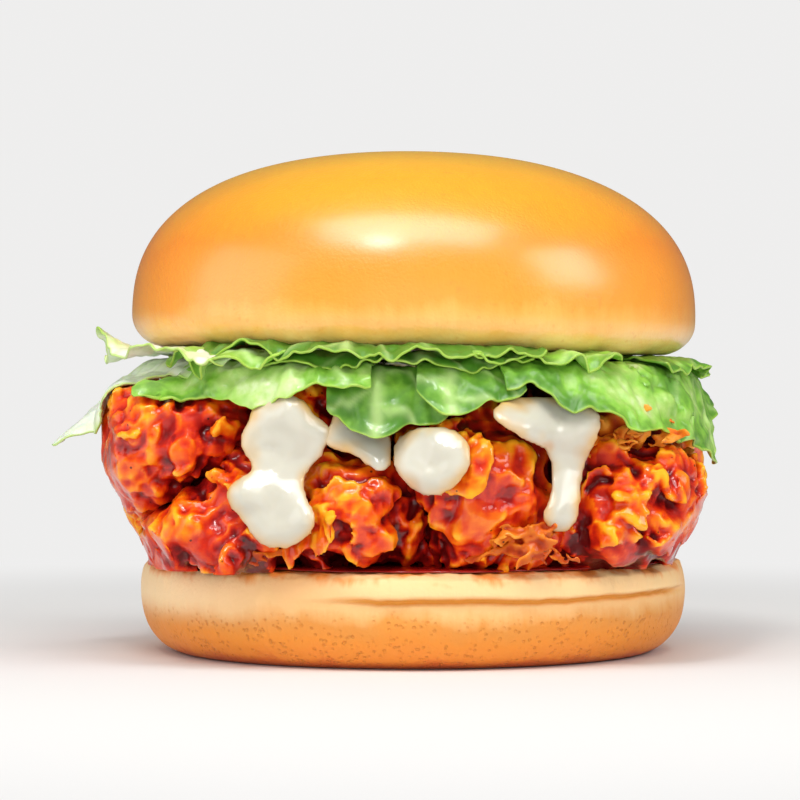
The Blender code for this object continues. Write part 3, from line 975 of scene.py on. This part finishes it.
def leaf_sheet(spec, seed):
    """The points of one leaf as a grid: shape (columns, rows, 3), with how far each is from the rim."""
    start, end, bed, bend, hang, droop, ruffle, waves = spec[:8]
    bumps = spec[8] if len(spec) > 8 else ()
    arc = math.radians(end - start) * LEAF_RADIUS
    columns = int(arc * 1.5 / LEAF_STEP)
    along = np.linspace(0, 1, columns)
    azimuth = start + (end - start) * along
    length = bend - LEAF_START / MM + hang * (0.55 + 0.45 * np.sin(math.pi * along) ** 0.5)
    droops = np.full(columns, math.radians(droop))
    calm = np.ones(columns)
    for centre, spread, longer, more in bumps:
        here = np.exp(-(((azimuth - centre) / spread) ** 2))
        length = length + longer * here
        droops = droops + math.radians(more) * here
        calm = calm * (1 - 0.6 * here)
    line = np.stack([azimuth * 0.9, azimuth * 0 + seed, azimuth * 0], axis=1)
    for height, size, shift in ((2.4, 7, 0), (1.1, 1.7, 1), (0.5, 0.7, 2)):
        length = length + height * noise_at(line, size, seed + shift)
    length = length * MM
    rows = int(length.max() / LEAF_STEP)
    share = np.linspace(0, 1, rows)
    gone = length[:, None] * share[None, :]
    flat_part = bend * MM - LEAF_START
    bent = eased(gone, flat_part - 2 * MM, flat_part + 6 * MM)
    rimward = eased(gone, 10 * MM, 26 * MM) * share[None, :]
    to_rim = length[:, None] * (1 - share[None, :])
    wave = swing(along, waves, seed)[:, None] + 0.4 * swing(along, waves * 2.3, seed + 2)[:, None]
    frizz = swing(along, waves * 5.2, seed + 3)[:, None] * eased(-to_rim, -3.5 * MM, 0)
    tilt = droops[:, None] * bent + calm[:, None] * (ruffle * rimward * wave + FRIZZ * frizz)
    step = gone[:, 1:2] - gone[:, 0:1]
    out = LEAF_START + np.cumsum(np.cos(tilt) * step, axis=1)
    down = np.cumsum(np.sin(tilt) * step, axis=1)
    aside = swing(along + 0.25 / waves, waves, seed)[:, None] * rimward**2 * 2.2 * ruffle
    angle = np.radians(azimuth[:, None] + aside * 1.6)
    sheet = np.stack([out * np.cos(angle), out * np.sin(angle), bed * MM - down], axis=2)
    sheet[:, :, 2] -= sheet[:, :, 0] * math.tan(CROWN_TILT)
    return sheet, to_rim, along


def vein_mask(across, outwards, seed):
    """Veins on a flat leaf: a rib from the heart and branches slanting to the rim, 1 on a vein and 0 off it."""
    flat = np.stack([across, outwards, 0 * across], axis=2).reshape(-1, 3)
    wander = (1.6 * MM * noise_at(flat, 8 * MM, seed)).reshape(across.shape)
    across, outwards = across + wander, outwards - wander
    best = np.exp(-((across / (1.0 * MM)) ** 2))
    for side in (-1, 1):
        for index in range(5):
            begin = (index * 8.4 - 12 + (4.0 if side > 0 else 0)) * MM
            rise = begin + np.abs(across) * 1.05
            branch = np.exp(-(((outwards - rise) / (0.85 * MM)) ** 2)) * (across * side > 0)
            best = np.maximum(best, 0.8 * branch * np.exp(-((across / (22 * MM)) ** 2)))
    return best


# %% Leaves as meshes
def grid_piece(name, sheets):
    """One mesh from several grids of points, each (columns, rows, 3)."""
    points, faces = [], []
    start = 0
    for sheet in sheets:
        columns, rows = sheet.shape[:2]
        index = np.arange(columns * rows).reshape(columns, rows) + start
        quads = np.stack([index[:-1, :-1], index[1:, :-1], index[1:, 1:], index[:-1, 1:]], axis=2)
        points.append(sheet.reshape(-1, 3))
        faces.append(quads.reshape(-1, 4))
        start += columns * rows
    return new_piece(name, np.concatenate(points).tolist(), np.concatenate(faces).tolist())


def leaf_piece(name, specs, seed, paleness_and_shade):
    """A piece of one or more leaves, clear of the chicken, with its layers for the finish."""
    sheets, rims, veins = [], [], []
    for number, spec in enumerate(specs):
        sheet, to_rim, along = leaf_sheet(spec, seed + 11 * number)
        width = math.radians(spec[1] - spec[0]) * LEAF_RADIUS
        across = ((along - 0.5 - 0.18 * math.sin(seed + number)) * width)[:, None] + 0 * to_rim
        outwards = (to_rim.max() - to_rim) - 6 * MM
        rims.append(to_rim.ravel())
        veins.append(vein_mask(across, outwards, seed + number).ravel())
        sheets.append(sheet)
    piece = grid_piece(name, sheets)
    rim, vein = np.concatenate(rims), np.concatenate(veins)
    points = points_of(piece)
    for rounds in (6, 4):
        points = relaxed(piece, draped_over(points, 0.9 * MM, 5 * MM), rounds)
    move_points(piece, points)
    normals = normals_of(piece)
    puckers = np.abs(noise_at(points, 4.2 * MM, seed + 4)) + 0.3 * noise_at(points, 1.7 * MM, seed + 5)
    points += normals * ((1.15 * puckers - 0.35 * vein) * MM)[:, None]
    points = relaxed(piece, kept_clear(points, 1.25 * MM), 1)
    move_points(piece, kept_clear(points, 0.95 * MM))
    add_layer(piece, "rim", np.clip(rim / (6 * MM), 0, 1))
    add_layer(piece, "vein", vein)
    # the pale layer holds the leaf's own paleness, and on the frill painted shade under the crown
    add_layer(piece, "pale", np.full(len(points), paleness_and_shade))
    with_modifier(piece, "SOLIDIFY", thickness=LEAF_THICKNESS, offset=0)
    return piece


# %% [markdown]
# ### Leaf finish
#
# A lettuce leaf is almost white at its ribs, grass green between them and lime at the thin rim, where light
# comes through. Water on it makes small white shines. The layers stored on the mesh give the rim and the
# veins, and slow noise does the rest. The frill under the crown gets a darker green, which is painted shade.

# %% Lettuce finish
leaf_green = Finish("lettuce", Coat_Roughness=0.12, Subsurface_Weight=0.18, Subsurface_Scale=0.001)
leaf_green.feed(Subsurface_Radius=(0.0008, 0.002, 0.0004), Coat_Weight=0.35)
rim, vein, pale = (leaf_green.attribute(layer) for layer in ("rim", "vein", "pale"))
patches = leaf_green.noise(11 * MM, detail=3)
mottle = leaf_green.noise(3 * MM, detail=3, shift=3.0)
whiteness_and_shade = (pale + (patches - 0.5) * 0.9 + (mottle - 0.5) * 0.5 + (rim - 0.5) * 0.15).between(0.15, 0.95)
green = leaf_green.ramp(
    whiteness_and_shade,
    [
        (0.0, (78, 134, 34)),
        (0.26, (136, 192, 62)),
        (0.52, (176, 212, 112)),
        (0.78, (218, 232, 182)),
        (1.0, (234, 241, 224)),
    ],
)
green = leaf_green.blend(vein * 0.55, green, linear(206, 232, 152))
edge = (1 - rim).between(0.80, 1.0)
leaf_green.feed(Base_Color=leaf_green.blend(edge * 0.7, green, linear(176, 212, 74)))
leaf_green.feed(Roughness=0.34 + 0.22 * mottle)
leaf_green.bump(mottle * 0.6 + leaf_green.noise(0.9 * MM, shift=4.0) * 0.4, 0.12 * MM)

# %% Every leaf
# azimuth from and to, bed height, bend radius, hang, droop, ruffle, waves, and bumps, in mm and degrees; a bump
# is (azimuth, spread, longer by, droop more by). The number after the leaves of a piece is its paleness; the
# frill's low number is painted shade under the crown.
LEAVES = {
    "left": (
        [
            (158, 222, 54.0, 48, 9, 42, 0.30, 3, ((190, 9, 17, 0), (204, 7, 3, 34))),
            (180, 234, 55.6, 52, 8, 10, 0.45, 2.6, ((198, 10, 2, -34),)),
        ],
        0.84,
    ),
    "front_left": (
        [
            (216, 262, 53.8, 50, 8.5, 66, 0.36, 2.4, ((224, 5, 3.0, 6), (238, 5, 2.5, 4))),
            (214, 246, 55.8, 51, 6.5, 38, 0.5, 2.6),
        ],
        0.50,
    ),
    "frill": (
        [
            (222, 296, 57.3, 50, 6.0, 30, 0.5, 4.3),
            (232, 294, 55.8, 49, 5.5, 52, 0.5, 3.2),
        ],
        # painted shade: this low number makes the frill under the crown a darker green
        -0.10,
    ),
    "centre": (
        [
            (252, 279, 53.2, 47.5, 13, 74, 0.16, 1.2, ((262, 6, 2.0, 3),)),
            (270, 292, 54.0, 49.0, 9.5, 62, 0.2, 1.1, ((276, 6, 2.5, 3),)),
        ],
        0.24,
    ),
    "right": (
        [
            (286, 378, 54.8, 50, 15, 66, 0.24, 3.0, ((293, 7, -5, -10), (318, 10, 2, -4), (344, 10, 6, 8))),
            (280, 314, 56.2, 50, 5.5, 30, 0.5, 2.8),
            (326, 392, 56.0, 50, 7.0, 40, 0.4, 3.2),
        ],
        0.34,
    ),
    "back_right": ([(374, 452, 54.6, 49, 9, 62, 0.4, 4), (385, 440, 56.0, 50, 5, 30, 0.5, 4)], 0.38),
    "back_left": ([(444, 522, 54.8, 49, 9.5, 64, 0.4, 4), (452, 520, 56.1, 50, 5, 30, 0.5, 4)], 0.42),
}
for number, (part, (specs, paleness_and_shade)) in enumerate(LEAVES.items()):
    piece = leaf_piece("leaf_" + part, specs, 300 + 29 * number, paleness_and_shade)
    serve(piece, leaf_green, "lettuce", "lettuce_" + part)

# %% [markdown]
# ## Mayonnaise
#
# A run of mayonnaise is thick in the middle, round at the rim and follows what it lies on. Each run starts as
# a fine upright grid, cut along the outline of the run. The grid is laid on the crust, and every point is
# brought forward by a round profile over its distance from the rim. A thickness, a voxel remesh and smoothing
# then make it flow.

# %% Mayonnaise shape
MAYO_STEP = 0.45 * MM
MAYO_VOXEL = 0.40 * MM
MAP_MARGIN = 8 * MM
MAP_BACK = -0.02  # the depth of a map where there is no crust


def depth_map(low, high):
    """How far forward the crust comes, on a 1 mm grid seen from the front, with its hollows bridged."""
    xs = np.arange(low.x - MAP_MARGIN, high.x + MAP_MARGIN, MM)
    zs = np.arange(low.z - MAP_MARGIN, high.z + MAP_MARGIN, MM)
    front = np.full((len(xs), len(zs)), MAP_BACK)
    for i, x in enumerate(xs):
        for j, z in enumerate(zs):
            hit = crust_tree.ray_cast(Vector((x, -OUTSIDE, z)), Vector((0, 1, 0)))[0]
            if hit is not None:
                front[i, j] = hit.y
    reach = [(a, b) for a in range(-3, 4) for b in range(-3, 4) if a * a + b * b < 11]
    front = np.min([np.roll(front, shift, (0, 1)) for shift in reach], axis=0)
    for _ in range(3):
        front = np.mean([np.roll(front, shift, (0, 1)) for shift in reach], axis=0)
    return xs[0], zs[0], front


def sampled(field, x, z):
    """Values of a depth map at points between its grid lines."""
    x_start, z_start, front = field
    u, v = (x - x_start) / MM, (z - z_start) / MM
    i, j = np.floor(u).astype(int), np.floor(v).astype(int)
    a, b = u - i, v - j
    near = front[i, j] * (1 - b) + front[i, j + 1] * b
    far = front[i + 1, j] * (1 - b) + front[i + 1, j + 1] * b
    return near * (1 - a) + far * a


def rim_distance(x, z, outline):
    """How far each point lies inside a closed outline; negative outside."""
    corners = np.array(outline)
    ends = np.roll(corners, -1, axis=0)
    inside = np.zeros(len(x), dtype=bool)
    nearest = np.full(len(x), 1.0)
    for (x1, z1), (x2, z2) in zip(corners, ends):
        dx, dz = x2 - x1, z2 - z1
        along = np.clip(((x - x1) * dx + (z - z1) * dz) / (dx**2 + dz**2), 0, 1)
        nearest = np.minimum(nearest, np.hypot(x - x1 - along * dx, z - z1 - along * dz))
        if z1 != z2:
            crosses = ((z1 > z) != (z2 > z)) & (x < x1 + (z - z1) / dz * dx)
            inside ^= crosses
    return np.where(inside, nearest, -nearest)


def rounded(outline):
    """The outline with its corners cut off, twice over."""
    corners = np.array(outline, dtype=float)
    for _ in range(2):
        ends = np.roll(corners, -1, axis=0)
        corners = np.stack([0.75 * corners + 0.25 * ends, 0.25 * corners + 0.75 * ends], axis=1).reshape(-1, 2)
    return corners


def mayo_piece(name, node, outline, seed, thickness, round_over, lean):
    """Outline points are (across, up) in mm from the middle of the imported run; its top leans out by lean."""
    low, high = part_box(node)
    middle = (low + high) / 2
    corners = rounded(outline) * MM + [middle.x, middle.z]
    first, last = corners.min(axis=0) - MM, corners.max(axis=0) + MM
    across, up = ((last - first) / MAYO_STEP).astype(int)
    bpy.ops.object.select_all(action="DESELECT")
    bpy.ops.mesh.primitive_grid_add(x_subdivisions=int(across), y_subdivisions=int(up), size=1)
    piece = bpy.context.object
    piece.name = name
    points = points_of(piece) + [0.5, 0.5, 0]
    x, z = first[0] + points[:, 0] * (last[0] - first[0]), first[1] + points[:, 1] * (last[1] - first[1])
    inside = rim_distance(x, z, corners)
    field = depth_map(low, high)
    bulge = np.sqrt(1 - (1 - np.clip(inside / round_over, 0, 1)) ** 2)
    flat = np.stack([x, 0 * x, z], axis=1)
    lumps = 1 + 0.55 * noise_at(flat, 6.5 * MM, seed) + 0.28 * noise_at(flat, 2.8 * MM, seed + 1)
    y = sampled(field, x, z) - (0.1 * MM + thickness * bulge * lumps) - lean * eased(z, middle.z, high.z)
    move_points(piece, np.stack([x, y, z], axis=1))
    bpy.ops.object.mode_set(mode="EDIT")
    bpy.ops.mesh.select_all(action="DESELECT")
    bpy.ops.object.mode_set(mode="OBJECT")
    piece.data.vertices.foreach_set("select", inside < 0)
    bpy.ops.object.mode_set(mode="EDIT")
    bpy.ops.mesh.delete(type="VERT")
    bpy.ops.object.mode_set(mode="OBJECT")
    with_modifier(piece, "SOLIDIFY", thickness=1.3 * MM, offset=0)
    with_modifier(piece, "REMESH", mode="VOXEL", voxel_size=MAYO_VOXEL)
    with_modifier(piece, "SMOOTH", factor=0.6, iterations=16)
    points = points_of(piece)
    add_layer(piece, "thick", np.clip(rim_distance(points[:, 0], points[:, 2], corners) / (4 * MM), 0, 1))
    return piece


# %% Mayonnaise finish
mayo = Finish("mayonnaise", Roughness=0.30, Coat_Weight=0.7, Coat_Roughness=0.05, Subsurface_Weight=0.2)
mayo.feed(Subsurface_Radius=(0.003, 0.0022, 0.0014), Subsurface_Scale=0.002)
warm = mayo.noise(7 * MM, detail=2)
thick = mayo.attribute("thick")
# warm tint at the thin rim: partly sauce mixed in, partly painted light of the orange crust showing through
tint = ((1 - thick) * 0.75 + (warm - 0.5) * 1.3).between(0.20, 1.0)
mayo.feed(Base_Color=mayo.blend(tint, linear(204, 200, 184), linear(214, 170, 96)))
mayo.bump(mayo.noise(5 * MM, detail=1, shift=2.0), 0.25 * MM)

# %% Every run of mayonnaise
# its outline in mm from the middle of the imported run
MAYO = {
    "left": (
        (-5.3, 14.3), (-1.6, 15.7), (1.5, 15.4), (3.6, 14.0), (5.0, 11.9), (7.8, 10.1), (8.5, 8.4), (7.5, 6.8),
        (6.4, 4.2), (4.0, 1.8), (3.3, -0.5), (4.5, -3.6), (5.9, -6.4), (4.3, -9.5), (0.7, -11.6),
        (-3.3, -11.5), (-5.8, -9.2), (-7.7, -6.4), (-10.1, -3.8), (-10.3, -1.0), (-8.0, 0.7), (-5.4, 2.3),
        (-6.5, 3.9), (-7.9, 5.6), (-7.9, 8.0), (-6.5, 10.7),
    ),
    "middle": (
        (-7.9, 8.1), (-3.7, 8.8), (0.1, 7.8), (2.0, 4.6), (3.2, 0.8), (3.5, -2.8), (2.4, -5.0), (0.2, -5.1),
        (-1.6, -3.2), (-4.2, -1.8), (-7.2, -1.2), (-9.0, 0.2), (-8.4, 2.9), (-6.8, 5.0),
    ),
    "centre": (
        (-6.0, 5.8), (-3.8, 7.5), (0.4, 8.1), (4.4, 7.2), (6.5, 4.4), (6.5, 1.4), (4.3, -1.9), (1.1, -4.3),
        (-2.0, -4.0), (-5.0, -1.9), (-7.1, 0.4), (-7.2, 3.7),
    ),
    "right": (
        (-12.1, 11.2), (-9.3, 13.5), (-4.8, 14.2), (0.8, 13.8), (5.3, 12.8), (8.1, 11.1), (8.1, 8.3),
        (6.7, 5.1), (5.3, 2.3), (4.5, -1.7), (4.0, -6.7), (2.6, -9.5), (-0.2, -10.0), (-2.1, -8.8),
        (-2.7, -6.5), (-1.3, -3.1), (-0.9, 1.1), (-1.4, 3.0), (-2.5, 4.8), (-4.9, 5.8), (-8.1, 7.6),
        (-10.9, 9.3),
    ),
}
# how thick it is, how round its rim, and how far its top leans out
MAYO_BODY = {
    "left": (2.6 * MM, 5.0 * MM, 2.5 * MM),
    "middle": (2.0 * MM, 3.4 * MM, 1.5 * MM),
    "centre": (3.4 * MM, 5.6 * MM, 0),
    "right": (2.6 * MM, 4.4 * MM, 5.0 * MM),
}
for number, (part, outline) in enumerate(MAYO.items()):
    piece = mayo_piece("sauce_run_" + part, "mayo_" + part, outline, 500 + number, *MAYO_BODY[part])
    serve(piece, mayo, "mayonnaise", "mayo_" + part)

# %% [markdown]
# ## Sauce pool, crisp crumbs and flakes
#
# Sauce has run down and stands as a thin dark sheet on the heel, ragged at its rim. Small curls of dry batter
# have fallen off and lie at the foot of the chicken. One ragged strip is modelled, and copied many times with
# its own turn and size; the copies overlap, so a voxel remesh melts each heap.

# %% Sauce pool
POOL_RADIUS = 49.6 * MM
POOL_THICKNESS = 0.9 * MM
POOL_RIM = ((0.7, 1), (0.93, 0.95), (0.985, 0.7), (1.0, 0.3))  # share of the radius, share of the thickness

pool_outline = [(0, heel_top + POOL_THICKNESS)]
pool_outline += [(POOL_RADIUS * share, heel_top + POOL_THICKNESS * rise) for share, rise in POOL_RIM]
pool_outline += [(POOL_RADIUS * 0.985, heel_top - 0.2 * MM), (0, heel_top - 0.2 * MM)]
pool = spun("sauce_pool", pool_outline, 48)
with_modifier(pool, "SUBSURF", levels=2, render_levels=2)
points = points_of(pool)
radius = np.maximum(np.hypot(points[:, 0], points[:, 1]), 1e-6)
flat = points * [1, 1, 0]
outer = eased(radius, 0.8 * POOL_RADIUS, POOL_RADIUS)
ragged = 1.7 * noise_at(flat, 9 * MM, 61) + 0.8 * noise_at(flat, 3.4 * MM, 62)
points += flat / radius[:, None] * (outer * ragged * MM)[:, None]
points[:, 2] += outer * np.maximum(noise_at(flat, 5 * MM, 63), 0) * 0.5 * MM
move_points(pool, points)

pooled = Finish("sauce_pool", Roughness=0.25, Coat_Weight=0.8, Coat_Roughness=0.05, Specular_IOR_Level=0.3)
pooled.feed(Base_Color=pooled.blend(pooled.noise(5 * MM, detail=2), linear(78, 6, 12), linear(188, 30, 18)))
pooled.bump(pooled.noise(3 * MM, detail=1), 0.15 * MM)
serve(pool, pooled, "sauced_crust")


# %% One strip of crisp batter, and heaps of it
def strip_pattern(seed):
    """A ragged strip about one unit long and a quarter wide, twisted and waved: its points and its faces."""
    bpy.ops.object.select_all(action="DESELECT")
    bpy.ops.mesh.primitive_grid_add(x_subdivisions=14, y_subdivisions=4, size=1)
    strip = bpy.context.object
    points = points_of(strip)
    along = points[:, 0].copy()
    line = np.stack([along, 0 * along + seed, 0 * along], axis=1)
    width = 0.15 * (1 + 0.7 * noise_at(line, 0.35, seed)) * np.sqrt(np.maximum(1 - (2 * along) ** 2, 0.05))
    twist = 2.2 * noise_at(line, 0.7, seed + 3)
    across = points[:, 1] * width * 2
    points[:, 1] = across * np.cos(twist) + 0.16 * noise_at(line, 0.5, seed + 5)
    points[:, 2] = across * np.sin(twist) + 0.24 * noise_at(line, 0.45, seed + 7)
    move_points(strip, points)
    return as_pattern(strip, 0.10)


STRIP_PATTERNS = 6
CRISP_VOXEL = 0.34 * MM

strips = [strip_pattern(seed) for seed in range(STRIP_PATTERNS)]
print("strip patterns:", len(strips))


def heap(name, middle, spread, count, sizes, seed):
    """Many strips around a point, melted into one piece: middle, spread and sizes in mm."""
    dice = np.random.default_rng(seed)
    points, faces = [], []
    for _ in range(count):
        shape, shape_faces = strips[dice.integers(len(strips))]
        turn = Matrix.Rotation(dice.normal(0, 0.5), 3, "Y") @ Matrix.Rotation(dice.uniform(-0.7, 0.7), 3, "Z")
        turn = turn @ Matrix.Rotation(dice.uniform(0, 2 * math.pi), 3, "X")
        place = np.array(middle) + dice.normal(0, 1, 3) * spread
        start = sum(len(part) for part in points)
        points.append((shape @ np.array(turn).T * dice.uniform(*sizes) + place) * MM)
        faces += [tuple(start + i for i in face) for face in shape_faces]
    piece = new_piece(name, np.concatenate(points).tolist(), faces)
    with_modifier(piece, "REMESH", mode="VOXEL", voxel_size=CRISP_VOXEL)
    with_modifier(piece, "SMOOTH", factor=0.5, iterations=2)
    add_relief(piece)
    add_layer(piece, "depth", np.zeros(len(piece.data.vertices)))
    return piece


# middle, spread, how many strips, their sizes, seed
HEAPS = {
    "crisps_centre": ((20, -49.5, 22.5), (4.2, 1.0, 2.0), 34, (3, 6.5), 71),
    "crisps_left": ((-31, -45.5, 20.6), (3.4, 1.2, 1.4), 18, (3, 6), 72),
    "crisps_right": ((35, -38, 41), (5.0, 1.5, 2.0), 40, (3, 7), 73),
}
for name, heaped in HEAPS.items():
    serve(heap(name, *heaped), crisp_finish, "sauced_crust")
